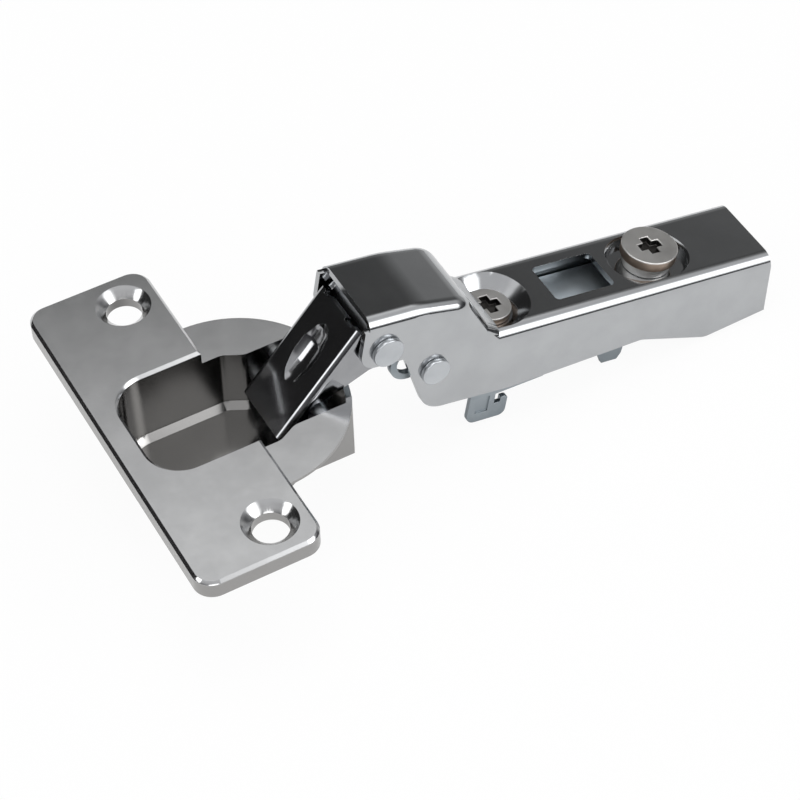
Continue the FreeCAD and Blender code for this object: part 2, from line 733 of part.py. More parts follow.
def make_closing_spring():
    """A bent strip round the first pin: one leg stands on the bowl's floor, one bears on the inner link."""
    body = start_body("closing_spring", SPRING_FRAME)
    floor = "-(boss_depth - cup_sheet + pin_one_z)"
    loop = start_sketch(body, "loop", "XZ_Plane")
    ring(loop, "0", "0", "pin_radius + 2 * running_fit + spring_strip")
    pad(body, loop, "2 * spring_half", "Symmetric")
    legs = start_sketch(body, "legs", "XZ_Plane")
    foot_end = "boss_radius - 2 * cup_sheet - floor_edge - pin_one_x"
    foot_start = f"{foot_end} - spring_toe"
    outline(legs, [("pin_radius / 2", "-pin_radius - spring_strip"), (foot_start, f"{floor} + running_fit"),
                   (foot_end, f"{floor} + running_fit"),
                   (foot_end, f"{floor} + running_fit + spring_strip"),
                   (f"{foot_start} + spring_strip / 2", f"{floor} + running_fit + spring_strip"),
                   ("pin_radius", "-pin_radius")])
    top = "pin_two_z - pin_one_z - inner_eye - 4 * running_fit"
    outline(legs, [("0", f"{top} - spring_strip"), ("spring_lever", f"{top} - spring_strip"),
                   ("spring_lever", top), ("0", top)])
    pad(body, legs, "2 * spring_half", "Symmetric")
    bore = start_sketch(body, "bore", "XZ_Plane")
    ring(bore, "0", "0", "pin_radius + 2 * running_fit")
    pocket(body, bore, "2 * spring_half + spring_strip", "Symmetric")


def make_rivet(name, along, up, radius, head):
    """A rivet across the arm with two low heads."""
    body = start_body(name, on_arm(along, up))
    made = start_sketch(body, "profile", "XY_Plane")
    end = "arm_half + rivet_head_height"
    lower = [("0", f"-({end})"), (head, f"-({end})"), (head, "-arm_half"), (radius, "-arm_half")]
    outline(made, mirrored(lower))
    turn(body, made, "Revolution")


# Arm
def make_arm():
    """The cranked arm: one folded channel with a dish, a window and a well in its top."""
    body = start_body("arm", ARM_FRAME)
    side = start_sketch(body, "side", "XZ_Plane")
    front, low = "-nose_front - arm_sheet", "-skirt_bump - arm_sheet"
    outline(side, [
        (front, low), (front, "nose_top"), ("nose_flat", "nose_top"), ("crank_top", "nose_top - nose_drop"),
        ("crank_foot", "rear_top"), ("arm_end + arm_sheet", "rear_top"), ("arm_end + arm_sheet", low),
    ])
    pad(body, side, "2 * arm_half", "Symmetric")
    for name, x, z, radius in (("crown", "nose_flat", "nose_top", "crown_radius"),
                               ("crank", "crank_top", "nose_top - nose_drop", "crank_round"),
                               ("foot", "crank_foot", "rear_top", "foot_round / 2")):
        kind = "Chamfer" if name == "foot" else "Fillet"
        dress(body, kind, name, upright_at(body, [(x, z)]), radius)
    long_edges = edges_where(body, lambda p: near(abs(p.y), "arm_half") and p.z > amount_of("rear_top") - 0.05)
    dress(body, "Fillet", "bend", long_edges, "arm_bend")
    inside = start_sketch(body, "inside", "XZ_Plane")
    outline(inside, [
        ("2 * (-nose_front - arm_sheet)", "-2 * skirt_bump"),
        ("2 * (-nose_front - arm_sheet)", "nose_top - arm_sheet"),
        ("under_crown", "nose_top - arm_sheet"), ("under_crank_x", "under_crank_z"),
        ("under_foot", "rear_top - arm_sheet"), ("arm_end + 3 * arm_sheet", "rear_top - arm_sheet"),
        ("arm_end + 3 * arm_sheet", "-2 * skirt_bump"),
    ])
    pocket(body, inside, "2 * (arm_half - arm_sheet)", "Symmetric")
    foot = upright_at(body, [("under_foot", "rear_top - arm_sheet")])
    dress(body, "Chamfer", "under_foot", foot, "(foot_round + arm_sheet) / 2")
    inner_edges = edges_where(body, lambda p: near(abs(p.y), "arm_half - arm_sheet") and
                              p.z > amount_of("rear_top - arm_sheet") - 0.05)
    dress(body, "Chamfer", "inner_bend", inner_edges, "(arm_bend - arm_sheet) / 2")
    cut_side_outline(body)
    sink_dish(body)
    sink_well(body)
    cut_window(body)
    bores = start_sketch(body, "rivet_holes", "XZ_Plane")
    ring(bores, "0", "0", "rivet_one_radius + running_fit")
    ring(bores, "rivet_two_along", "-rivet_two_drop", "rivet_two_radius + running_fit")
    pocket(body, bores, "2 * arm_half + arm_sheet", "Symmetric")


def cut_side_outline(body):
    """Trim the walls to the stamped outline: two lobes with a notch between, and the waved skirt."""
    trim = start_sketch(body, "trim", "XZ_Plane")
    far, high, deep = "arm_end + 3 * arm_sheet", "nose_top + arm_sheet", "-2 * skirt_bump"
    front = "-nose_front - 3 * arm_sheet"
    corners = [
        (front, high), ("-nose_lip", high), ("-nose_lip", "nose_side"), ("-nose_front", "nose_side"),
        ("-nose_front", "-lobe_drop"), ("notch_x", "-lobe_drop"), ("heel_x", "-heel_drop"),
        ("skirt_waist_x / 2", "-skirt_front"), ("skirt_waist_x", "-skirt_waist"),
        ("skirt_bump_x", "-skirt_bump"), ("arm_end", "-skirt_end"), ("arm_end - end_lean", "rear_top"),
        ("arm_end - end_lean", high), (far, high), (far, deep), (front, deep),
    ]
    outline(trim, corners)
    pocket(body, trim, "2 * arm_half + arm_sheet", "Symmetric")
    for name, x, z, radius in (("lobe", "-nose_front", "-lobe_drop", "lobe_round"),
                               ("notch", "notch_x", "-lobe_drop", "notch_round"),
                               ("heel", "heel_x", "-heel_drop", "heel_round"),
                               ("waist", "skirt_waist_x", "-skirt_waist", "skirt_round"),
                               ("bump", "skirt_bump_x", "-skirt_bump", "skirt_round")):
        dress(body, "Fillet", name, upright_at(body, [(x, z)]), radius)


def cone(body, kind, name, place, low, bottom, top, height):
    """A cone that stands in the arm's frame."""
    item = body.newObject(f"PartDesign::{kind}Cone", f"{body.Name}_{name}")
    support = [found for found in body.Origin.OriginFeatures if found.Role == "XY_Plane"][0]
    item.AttachmentSupport = [(support, "")]
    item.MapMode = "FlatFace"
    item.setExpression("AttachmentOffset.Base.x", cell(place))
    item.setExpression("AttachmentOffset.Base.z", cell(low))
    item.setExpression("Radius1", cell(bottom))
    item.setExpression("Radius2", cell(top))
    item.setExpression("Height", cell(height))
    body.Tip = item
    DOC.recompute()


def sink_dish(body):
    """The round dish of the side adjusting screw."""
    half_sheet = "arm_sheet / 2"
    under = start_sketch(body, "dish_under", "XY_Plane", "rear_top - dish_depth - arm_sheet")
    ring(under, "dish_place", "0", f"(dish_floor + dish_rim) / 2 + arm_sheet * {DRAWN_WALL}")
    pad(body, under, f"dish_depth + {half_sheet}")
    cone(body, "Subtractive", "dish", "dish_place", "rear_top - dish_depth", "dish_floor", "dish_rim", "dish_depth")
    hole = start_sketch(body, "dish_hole", "XY_Plane", "rear_top - dish_depth + arm_sheet")
    ring(hole, "dish_place", "0", "side_screw_shank + 6 * running_fit")
    pocket(body, hole, "3 * arm_sheet")


def sink_well(body):
    """The oval well of the depth adjusting screw."""
    ends = ("well_place - well_half + well_width", "well_place + well_half - well_width")
    under = start_sketch(body, "well_under", "XY_Plane", "rear_top - well_depth - arm_sheet")
    slot(under, *ends, "0", f"well_width + arm_sheet * {DRAWN_WALL}")
    pad(body, under, "well_depth + arm_sheet / 2")
    well = start_sketch(body, "well", "XY_Plane", "rear_top")
    slot(well, *ends, "0", "well_width")
    pocket(body, well, "well_depth")
    hole = start_sketch(body, "well_hole", "XY_Plane", "rear_top")
    ring(hole, "well_place", "0", "cam_neck + running_fit")
    pocket(body, hole, "well_depth + 2 * arm_sheet")
    rim = edges_where(body, lambda p: near(p.z, "rear_top") and
                      abs(p.x - amount_of("well_place")) < amount_of("well_half") + 0.1 and
                      abs(p.y) < amount_of("well_width") + 0.1)
    dress(body, "Chamfer", "well_rim", rim, "rim_round")


def cut_window(body):
    """The window between the two adjusting screws."""
    window = start_sketch(body, "window", "XY_Plane", "rear_top + arm_sheet")
    outline(window, [("window_near", "-window_half"), ("window_far", "-window_half"),
                     ("window_far", "window_half"), ("window_near", "window_half")])
    pocket(body, window, "3 * arm_sheet")
    corners = edges_where(body, lambda p: (near(p.x, "window_near") or near(p.x, "window_far")) and
                          near(abs(p.y), "window_half"))
    dress(body, "Fillet", "window_corner", corners, "2 * rim_round")


# Adjusting screws
def make_side_screw():
    """The side adjusting screw. Its head turns in the dish and its shank is threaded in the plate."""
    body = start_body("side_screw", on_arm("dish_place", "rear_top - dish_depth"))
    made = start_sketch(body, "profile", "XZ_Plane")
    outline(made, [("0", "-side_screw_length"), ("side_screw_shank", "-side_screw_length"),
                   ("side_screw_shank", "running_fit"), ("side_screw_head", "running_fit"),
                   ("side_screw_head", "side_screw_height"), ("0", "side_screw_height")])
    turn(body, made, "Revolution")
    cut_recess(body, "side_screw_height")


def make_cam_screw():
    """The depth adjusting screw, with a broad head on the well's floor and a neck through it."""
    body = start_body("cam_screw", on_arm("well_place", "rear_top - well_depth"))
    made = start_sketch(body, "profile", "XZ_Plane")
    end = "plate_top - plate_sheet - carrier_gap - carrier_sheet - carrier_gap - (rear_top - well_depth)"
    outline(made, [("0", end), ("cam_shank", end), ("cam_shank", "plate_top - rear_top + well_depth + carrier_gap"),
                   ("cam_neck", "plate_top - rear_top + well_depth + carrier_gap"), ("cam_neck", "running_fit"),
                   ("cam_collar", "running_fit"), ("cam_collar", "cam_collar_height"),
                   ("cam_head", "cam_collar_height"), ("cam_head", "cam_head_height"), ("0", "cam_head_height")])
    turn(body, made, "Revolution")
    cut_recess(body, "cam_head_height")


def cut_recess(body, top):
    """A cross recess in a screw's head."""
    for name, reach, width in (("recess_long", "recess_half", "recess_width"),
                               ("recess_cross", "recess_width", "recess_half")):
        made = start_sketch(body, name, "XY_Plane", top)
        outline(made, [(f"-{reach}", f"-{width}"), (reach, f"-{width}"), (reach, width), (f"-{reach}", width)])
        pocket(body, made, "recess_depth")


def make_cam_disc():
    """The spiral disc under the carrier. Its radius grows with the angle, so a turn slides the carrier."""
    body = start_body("cam_disc", on_arm("well_place", "0"))
    top = "plate_top - plate_sheet - carrier_gap - carrier_sheet - carrier_gap"
    sweep = SIZES["cam_range"]
    # past both ends of the sweep the rim jumps from its least to its greatest radius
    jump = (180 - sweep) / 2
    rim = []
    for step in range(CAM_STEPS):
        angle = -sweep - jump + 360 * step / CAM_STEPS
        share = max(-sweep, min(sweep, angle)) / sweep
        reach = f"(cam_radius - ({share:.9f}) * cam_rise)"
        across, up = math.cos(math.radians(angle)), math.sin(math.radians(angle))
        rim.append((f"{reach} * ({across:.9f})", f"{reach} * ({up:.9f})"))
    spiral = start_sketch(body, "spiral", "XY_Plane", top)
    outline(spiral, rim)
    pad(body, spiral, "cam_disc", reverse=True)
    bore = start_sketch(body, "bore", "XY_Plane", top)
    ring(bore, "0", "0", "cam_shank / 2")
    pocket(body, bore, "2 * cam_disc")


# Adjusting plate and clip carrier
def make_adjusting_plate():
    """The plate that the side screw lifts and the cam screw holds to the arm."""
    body = start_body("adjusting_plate", ARM_FRAME)
    flat = start_sketch(body, "flat", "XY_Plane", "plate_top")
    outline(flat, [("plate_start", "-plate_half"), ("plate_end", "-plate_half"),
                   ("plate_end", "plate_half"), ("plate_start", "plate_half")])
    pad(body, flat, "plate_sheet", reverse=True)
    for sign in ("-", ""):
        guide = start_sketch(body, "guide_near" if sign else "guide_far", "XY_Plane", "plate_top")
        sides = (f"{sign}plate_half", f"{sign}(carrier_half + slide_play)")
        outline(guide, [("carrier_plate_start", sides[0]), ("plate_end", sides[0]),
                        ("plate_end", sides[1]), ("carrier_plate_start", sides[1])])
        pad(body, guide, "plate_flange", reverse=True)
    nut = start_sketch(body, "nut", "XY_Plane", "plate_top")
    ring(nut, "dish_place", "0", "side_screw_shank + nut_wall")
    pad(body, nut, "nut_depth", reverse=True)
    holes = start_sketch(body, "holes", "XY_Plane", "plate_top")
    ring(holes, "dish_place", "0", "side_screw_shank + 3 * running_fit")
    ring(holes, "well_place", "0", "cam_shank + 2 * running_fit")
    pocket(body, holes, "3 * plate_sheet")
    bends = edges_where(body, lambda p: near(p.z, "plate_top") and near(abs(p.y), "plate_half"))
    dress(body, "Fillet", "bend", bends, "plate_sheet / 2")


def make_clip_carrier():
    """The channel that clips on the base: two hooks in front, and ears for the catch."""
    body = start_body("clip_carrier", ARM_FRAME)
    top = "plate_top - plate_sheet - carrier_gap"
    wall = start_sketch(body, "wall", "XZ_Plane")
    hook_end = "carrier_start + hook_long"
    slot_x = "carrier_start + hook_stem"
    finger, mouth = "hook_finger - hook_drop", "hook_finger - hook_mouth - hook_drop"
    outline(wall, [
        ("carrier_start", top), ("carrier_start", "-hook_drop"), (hook_end, "-hook_drop"), (hook_end, finger),
        (f"{slot_x} + hook_slot", finger), (f"{slot_x} + hook_slot", mouth),
        (slot_x, mouth), (slot_x, "hook_finger + hook_mouth - hook_drop"),
        ("carrier_plate_start + neck_start", "neck_rise - hook_drop"),
        ("carrier_plate_start + neck_end", "-carrier_skirt"),
        ("carrier_end", "-carrier_skirt"), ("carrier_end", top),
    ])
    pad(body, wall, "2 * carrier_half", "Symmetric")
    inside = start_sketch(body, "inside", "XZ_Plane")
    outline(inside, [
        ("carrier_start - 1", f"{top} + 1"), ("carrier_plate_start", f"{top} + 1"),
        ("carrier_plate_start", f"{top} - carrier_sheet"), ("carrier_end + 1", f"{top} - carrier_sheet"),
        ("carrier_end + 1", "-hook_drop - 1"), ("carrier_start - 1", "-hook_drop - 1"),
    ])
    pocket(body, inside, "2 * (carrier_half - carrier_sheet)", "Symmetric")
    for name, x, z, radius in (("hook_front", "carrier_start", "-hook_drop", "2 * carrier_sheet"),
                               ("hook_back", hook_end, "-hook_drop", "1.5 * carrier_sheet"),
                               ("finger", hook_end, finger, "0.8 * carrier_sheet"),
                               ("tail", "carrier_end", "-carrier_skirt", "3 * carrier_sheet")):
        dress(body, "Fillet", name, upright_at(body, [(x, z)]), radius)
    opening = start_sketch(body, "cam_slot", "XY_Plane", top)
    slot(opening, "well_place - cam_rise - slide_play", "well_place + cam_rise + slide_play", "0",
         "cam_shank + slide_play")
    pocket(body, opening, "2 * carrier_sheet")
    nib = start_sketch(body, "nib", "XY_Plane", f"{top} - carrier_sheet / 2")
    foot = "well_place + cam_radius + slide_play"
    outline(nib, [(foot, "-nib_half"), (f"{foot} + carrier_sheet", "-nib_half"),
                  (f"{foot} + carrier_sheet", "nib_half"), (foot, "nib_half")])
    pad(body, nib, "carrier_sheet / 2 + carrier_gap + cam_disc", reverse=True)
    for name, level, back in (("mark_near", "carrier_half", False), ("mark_far", "-carrier_half", True)):
        mark = start_sketch(body, name, "XZ_Plane", level)
        low, high = "dimple_low - hook_drop", "dimple_high - hook_drop"
        outline(mark, [("carrier_start + dimple_start", low), ("carrier_start + dimple_end", low),
                       ("carrier_start + dimple_end", high), ("carrier_start + dimple_start", high)])
        pocket(body, mark, "carrier_sheet / 3", reverse=back)
    ears = start_sketch(body, "catch_holes", "XZ_Plane")
    ring(ears, "catch_place", "catch_height", "catch_pin")
    pocket(body, ears, "2 * carrier_half + carrier_sheet", "Symmetric")


# Catch
def make_catch_lever():
    """The sprung catch: two hooks in front of a long lever that ends in a finger plate."""
    body = start_body("catch_lever", ARM_FRAME)
    low, high = "catch_height - lever_drop", "catch_height - catch_slim"
    claw, claw_end = "catch_place + claw_start", "catch_place + claw_start + claw_width"
    wall = start_sketch(body, "wall", "XZ_Plane")
    outline(wall, [
        ("catch_place - catch_nose", "catch_height"), ("catch_place", "catch_height + catch_nose"),
        ("catch_place + 2 * catch_nose", high), ("catch_end", high), ("catch_end", low),
        (f"{claw_end} + catch_slim", low), (claw_end, "claw_edge - catch_tip"),
        (f"{claw_end} - claw_edge / 2", "-catch_tip"), (f"{claw} + claw_edge / 2", "-catch_tip"),
        (claw, "claw_edge - catch_tip"),
    ])
    pad(body, wall, "2 * catch_half", "Symmetric")
    boss = start_sketch(body, "boss", "XZ_Plane")
    ring(boss, "catch_place", "catch_height", "catch_pin + catch_sheet")
    pad(body, boss, "2 * catch_half", "Symmetric")
    inside = start_sketch(body, "inside", "XZ_Plane")
    above, below = "catch_height + 2 * catch_nose", "-catch_tip - catch_sheet"
    before, plate_front = "catch_place - 2 * catch_nose", f"{claw_end} + claw_edge"
    outline(inside, [
        (before, above), ("catch_end - finger_long", above), ("catch_end - finger_long", below),
        ("catch_place + lever_plate", below), ("catch_place + lever_plate", f"{low} + catch_sheet"),
        (plate_front, f"{low} + catch_sheet"), (plate_front, below), (before, below),
    ])
    pocket(body, inside, "2 * (catch_half - catch_sheet)", "Symmetric")
    bore = start_sketch(body, "bore", "XZ_Plane")
    ring(bore, "catch_place", "catch_height", "catch_pin + running_fit")
    pocket(body, bore, "2 * catch_half + catch_sheet", "Symmetric")


def make_catch_pin():
    body = start_body("catch_pin", on_arm("catch_place", "catch_height"))
    made = start_sketch(body, "profile", "XZ_Plane")
    ring(made, "0", "0", "catch_pin")
    pad(body, made, "2 * carrier_half", "Symmetric")


def make_catch_spring():
    """A bent strip on the catch's pin, between the carrier's plate and the lever."""
    body = start_body("catch_spring", on_arm("catch_place", "catch_height"))
    roof = "plate_top - plate_sheet - carrier_gap - carrier_sheet - catch_height - running_fit"
    loop = start_sketch(body, "loop", "XZ_Plane")
    ring(loop, "0", "0", "catch_pin + running_fit + catch_strip")
    pad(body, loop, "catch_half", "Symmetric")
    legs = start_sketch(body, "legs", "XZ_Plane")
    outline(legs, [("-catch_pin - catch_strip", "catch_strip"), ("-4 * catch_pin", roof),
                   ("-5 * catch_pin", roof), ("-5 * catch_pin", f"{roof} - catch_strip"),
                   ("-4 * catch_pin - catch_strip / 2", f"{roof} - catch_strip"),
                   ("-catch_pin - catch_strip", "-catch_strip")])
    outline(legs, [("0", "catch_pin + running_fit + catch_strip"), ("0", "catch_pin + running_fit"),
                   ("catch_pin", "catch_pin + running_fit - catch_strip"), ("9 * catch_pin", "catch_strip"),
                   ("9 * catch_pin", "2 * catch_strip"), ("catch_pin", "catch_pin + running_fit")])
    pad(body, legs, "catch_half", "Symmetric")
    bore = start_sketch(body, "bore", "XZ_Plane")
    ring(bore, "0", "0", "catch_pin + running_fit")
    pocket(body, bore, "catch_half + catch_strip", "Symmetric")


def write_parts():
    """Check every object, then write one file for each node."""
    DOC.recompute()
    for item in DOC.Objects:
        if "Invalid" in item.State or "Error" in item.State:
            raise RuntimeError(f"{item.Name}: {item.State}")
    for item in PARTS:
        if item.Shape.isNull() or not item.Shape.isValid() or not item.Shape.Solids:
            raise RuntimeError(f"{item.Label} has no valid solid")
    os.makedirs("parts", exist_ok=True)
    for item in PARTS:
        item.Shape.exportStep(os.path.join("parts", f"{item.Label}.step"))
        print(f"{item.Label}: {len(item.Shape.Solids)} solid, {item.Shape.Volume:.1f} mm3")


make_cup()
make_double_pin()
make_outer_link()
make_inner_link()
make_closing_spring()
make_arm()
make_rivet("front_rivet", "0", "0", "rivet_one_radius", "rivet_one_head")
make_rivet("rear_rivet", "rivet_two_along", "-rivet_two_drop", "rivet_two_radius", "rivet_two_head")
make_side_screw()
make_cam_screw()
make_cam_disc()
make_adjusting_plate()
make_clip_carrier()
make_catch_lever()
make_catch_pin()
make_catch_spring()
write_parts()
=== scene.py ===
import bmesh
import bpy
import math
from mathutils import Matrix, Vector


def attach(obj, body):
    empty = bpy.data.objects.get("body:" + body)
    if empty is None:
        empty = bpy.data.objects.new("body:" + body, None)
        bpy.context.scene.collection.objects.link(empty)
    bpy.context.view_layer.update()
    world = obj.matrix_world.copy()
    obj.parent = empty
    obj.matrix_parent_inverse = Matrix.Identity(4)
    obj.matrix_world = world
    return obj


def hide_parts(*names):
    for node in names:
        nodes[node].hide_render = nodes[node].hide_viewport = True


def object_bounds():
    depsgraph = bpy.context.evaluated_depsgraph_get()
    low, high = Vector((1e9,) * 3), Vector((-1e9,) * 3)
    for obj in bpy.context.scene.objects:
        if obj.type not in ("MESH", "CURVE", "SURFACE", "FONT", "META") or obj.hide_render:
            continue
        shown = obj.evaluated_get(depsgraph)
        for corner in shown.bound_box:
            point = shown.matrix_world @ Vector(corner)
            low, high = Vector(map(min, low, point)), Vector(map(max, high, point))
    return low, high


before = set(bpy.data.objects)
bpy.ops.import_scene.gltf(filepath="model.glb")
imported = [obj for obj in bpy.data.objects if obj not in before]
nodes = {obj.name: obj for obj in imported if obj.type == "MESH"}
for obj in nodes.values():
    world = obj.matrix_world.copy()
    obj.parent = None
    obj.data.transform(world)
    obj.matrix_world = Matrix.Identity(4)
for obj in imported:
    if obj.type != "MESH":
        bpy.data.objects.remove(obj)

cad_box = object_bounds()
MM = 0.001

# Camera: solved from the 35 mm cup and the 48 mm screw pattern
AZIMUTH = math.radians(-27.39)
ELEVATION = math.radians(48.21)
ROLL = math.radians(-2.16)
FOCAL_PIXELS = 2718.0
FRAME_PIXELS = 800.0
DISTANCE = 395.3 * MM
SIDE_STEP = 24.33 * MM
UP_STEP = 1.10 * MM
SENSOR_WIDTH = 36.0
NEAREST_SEEN = 10 * MM

# The arm's own frame: its front rivet and its pitch down from X
ARM_ORIGIN = Vector((21.7, 0.0, 7.4)) * MM
ARM_PITCH = math.radians(10.4)

# The adjusting screws: place along the arm, the head's top, and the radius where the head's side begins
SIDE_SCREW_PLACE = 22.5 * MM
SIDE_SCREW_TOP = -4.35 * MM
SIDE_SCREW_RADIUS = 3.3 * MM
CAM_SCREW_PLACE = 51.2 * MM
CAM_SCREW_TOP = -1.15 * MM
CAM_SCREW_RADIUS = 4.2 * MM

# The screws' recess: how far out it reaches, how soft its edge is, how deep below the head's top its
# painted shade is full
RECESS_REACH = 2.3 * MM
RECESS_EDGE = 0.08 * MM
RECESS_DARK = 0.35 * MM

# The cup's heights between which its painted shade fades in: down in the bowl, and on its upright walls
BOWL_LOW = -2.0 * MM
BOWL_TOP = -0.2 * MM
WALL_LOW = 2.3 * MM
WALL_TOP = 2.8 * MM
# How level a face is, from upright to flat, where the walls' painted shade ends
UPRIGHT_FULL = 0.4
UPRIGHT_NONE = 0.8

# Each metal: its darker and lighter colour, its smoothest and roughest gloss, the strength of its
# ripples and that of its grain
METALS = {
    "nickel_plate": ((0.44, 0.45, 0.46), (0.48, 0.49, 0.50), 0.09, 0.15, 0.2, 0.12),
    # The links' nickel: the arm's nickel darkened as painted shade
    "link_nickel_shaded": ((0.30, 0.305, 0.315), (0.36, 0.365, 0.375), 0.09, 0.15, 0.2, 0.12),
    "satin_nickel": ((0.50, 0.505, 0.51), (0.57, 0.575, 0.58), 0.13, 0.19, 0.25, 0.3),
    "zinc_plate": ((0.26, 0.295, 0.32), (0.36, 0.395, 0.42), 0.26, 0.38, 0.3, 0.35),
    # The adjusting plate's zinc: a lighter copy of the zinc, painted light for its place deep in the
    # window
    "plate_zinc_lit": ((0.56, 0.62, 0.66), (0.66, 0.72, 0.76), 0.42, 0.55, 0.3, 0.35),
    "peened_steel": ((0.46, 0.48, 0.50), (0.56, 0.58, 0.60), 0.26, 0.40, 0.5, 0.5),
    "side_screw_steel": ((0.66, 0.65, 0.63), (0.80, 0.79, 0.77), 0.30, 0.42, 0.3, 0.4),
    "cam_screw_steel": ((0.66, 0.65, 0.63), (0.80, 0.79, 0.77), 0.30, 0.42, 0.3, 0.4),
    "spring_steel": ((0.16, 0.16, 0.17), (0.22, 0.22, 0.23), 0.30, 0.42, 0.2, 0.12),
}
# Painted shade for the cup's bowl and low upright walls, and the share of it mixed in
CUP_SHADE = (0.30, 0.294, 0.285)
CUP_SHADE_SHARE = 0.85
# The screw head's side: partly its coppery tone, partly painted shade
COPPER_SIDE_AND_SHADE = (0.34, 0.27, 0.22)
# Painted shade for the screws' recesses
RECESS_SHADE = (0.07, 0.067, 0.064)

# The noises of plated metal: how many to a metre, how detailed, and how high their bumps are
CLOUD_SCALE = 160.0
CLOUD_DETAIL = 5.0
CLOUD_ENDS = (0.25, 0.75)
SMEAR_SCALE = 260.0
SMEAR_DETAIL = 8.0
SMEAR_ROUGHNESS = 0.7
SMEAR_ENDS = (0.15, 0.85)
RIPPLE_SCALE = 70.0
RIPPLE_DETAIL = 1.5
RIPPLE_HEIGHT = 0.04 * MM
GRAIN_SCALE = 4200.0
GRAIN_DETAIL = 4.0
GRAIN_HEIGHT = 0.004 * MM
PLAIN_ROUGHNESS = 0.55

# Pieces: bends above the edge angle are rounded, those between the two angles are creased
EDGE_ANGLE = math.radians(26)
CREASE_ANGLE = math.radians(17.6)
FLAT_ANGLE = math.radians(0.5)
WELD = 0.004 * MM
EDGE_SEGMENTS = 2
NORMAL_WEIGHT = 80

# Each piece: its node, its body, its slot, its metal and the width of its rounded edges in mm
PIECES = (
    ("cup", "cup_body", "nickel", "satin_nickel", 0.3),
    ("double_pin", "cup_body", "rivet_steel", "peened_steel", 0.2),
    ("closing_spring", "cup_body", "spring_steel", "spring_steel", 0.06),
    ("outer_link", "outer_link_body", "nickel", "link_nickel_shaded", 0.14),
    ("inner_link", "inner_link_body", "zinc", "zinc_plate", 0.12),
    ("arm", "arm_body", "nickel", "nickel_plate", 0.14),
    ("front_rivet", "arm_body", "rivet_steel", "peened_steel", 0.2),
    ("rear_rivet", "arm_body", "rivet_steel", "peened_steel", 0.2),
    ("side_screw", "side_screw_body", "bright_screw", "side_screw_steel", 0.12),
    ("cam_screw", "cam_body", "bright_screw", "cam_screw_steel", 0.15),
    ("cam_disc", "cam_body", "zinc", "zinc_plate", 0.05),
    ("adjusting_plate", "plate_body", "zinc", "plate_zinc_lit", 0.12),
    ("clip_carrier", "carrier_body", "nickel", "zinc_plate", 0.06),
    ("catch_lever", "catch_body", "nickel", "zinc_plate", 0.1),
    ("catch_pin", "carrier_body", "rivet_steel", "peened_steel", 0.1),
    ("catch_spring", "carrier_body", "spring_steel", "spring_steel", 0.05),
)

# Floor: its gap below the hinge, its half width, and how white the eye and the metal see it
FLOOR_GAP = 0.2 * MM
FLOOR_HALF = 3.0
FLOOR_ROUGHNESS = 0.9
FLOOR_COLOUR = (0.9, 0.9, 0.9, 1.0)
FLOOR_SEEN = 0.94
FLOOR_MIRRORED = 0.30
WHITE = (1.0, 1.0, 1.0, 1.0)
WHITE_LEVEL = 1.0

# A broad soft light in front of the arm's end, as the long bends mirror it
SOFTBOX_WAY = Vector((0.55, -0.66, 0.50)).normalized()
SOFTBOX_EDGE = math.cos(math.radians(24))
SOFTBOX_CORE = math.cos(math.radians(6))
SOFTBOX_LEVEL = 2.6

# The room as the metal sees it, by the rise Z of a direction. Behind the hinge it is dark up to a
# bright ceiling, and has a glow low down on the right. In front it brightens steadily with the rise.
CEILING_LEVELS = (
    (0.0, 0.03), (0.50, 0.03), (0.60, 0.035), (0.66, 0.06), (0.715, 0.25),
    (0.745, 0.50), (0.785, 1.75), (0.83, 2.1), (1.0, 1.7),
)
GLOW_BY_RISE = ((0.0, 0.5), (0.25, 0.5), (0.58, 0.02), (1.0, 0.0))
GLOW_BY_SIDE = ((0.0, 0.0), (0.35, 0.0), (0.75, 1.0), (1.0, 1.0))
FRONT_LOW = (0.06, 0.06, 0.065)
FRONT_HIGH = (0.75, 0.75, 0.76)
FRONT_ENDS = (0.12, 0.75)
# Front and back meet where the direction's Y, moved up by the shift, lies between the ends
BACK_SHIFT = 0.5
BACK_ENDS = (0.4, 0.7)

# Each lamp: its place, its width and height in metres, and its power
LAMP_TARGET = (0.035, 0.0, 0.0)
LAMPS = (
    ("overhead", (-0.05, -0.1, 1.0), 0.5, 0.5, 2.2),
    ("front", (-0.3, -0.9, 0.40), 0.8, 0.25, 2.0),
    ("left", (-0.9, 0.1, 0.5), 0.4, 0.4, 1.5),
    ("right", (0.62, -0.60, 0.42), 0.45, 0.16, 0.55),
)


def make_camera():
    back = Vector((math.sin(AZIMUTH) * math.cos(ELEVATION), -math.cos(AZIMUTH) * math.cos(ELEVATION),
                   math.sin(ELEVATION)))
    right = Vector((math.cos(AZIMUTH), math.sin(AZIMUTH), 0.0))
    up = back.cross(right)
    right_rolled = math.cos(ROLL) * right + math.sin(ROLL) * up
    up_rolled = -math.sin(ROLL) * right + math.cos(ROLL) * up
    place = back * DISTANCE + right_rolled * SIDE_STEP + up_rolled * UP_STEP
    data = bpy.data.cameras.new("camera")
    data.sensor_width = SENSOR_WIDTH
    data.lens = FOCAL_PIXELS / FRAME_PIXELS * SENSOR_WIDTH
    data.clip_start = NEAREST_SEEN
    camera = bpy.data.objects.new("camera", data)
    turn = Matrix((right_rolled, up_rolled, back)).transposed().to_4x4()
    camera.matrix_world = Matrix.Translation(place) @ turn
    bpy.context.scene.collection.objects.link(camera)
    bpy.context.scene.camera = camera


# Building blocks of the materials
def start_material(name):
    made = bpy.data.materials.new(name)
    made.use_nodes = True
    tree = made.node_tree
    tree.nodes.clear()
    output = tree.nodes.new("ShaderNodeOutputMaterial")
    shader = tree.nodes.new("ShaderNodeBsdfPrincipled")
    tree.links.new(shader.outputs["BSDF"], output.inputs["Surface"])
    return made, tree, shader


def find_node(tree, kind):
    return next(item for item in tree.nodes if item.type == kind)


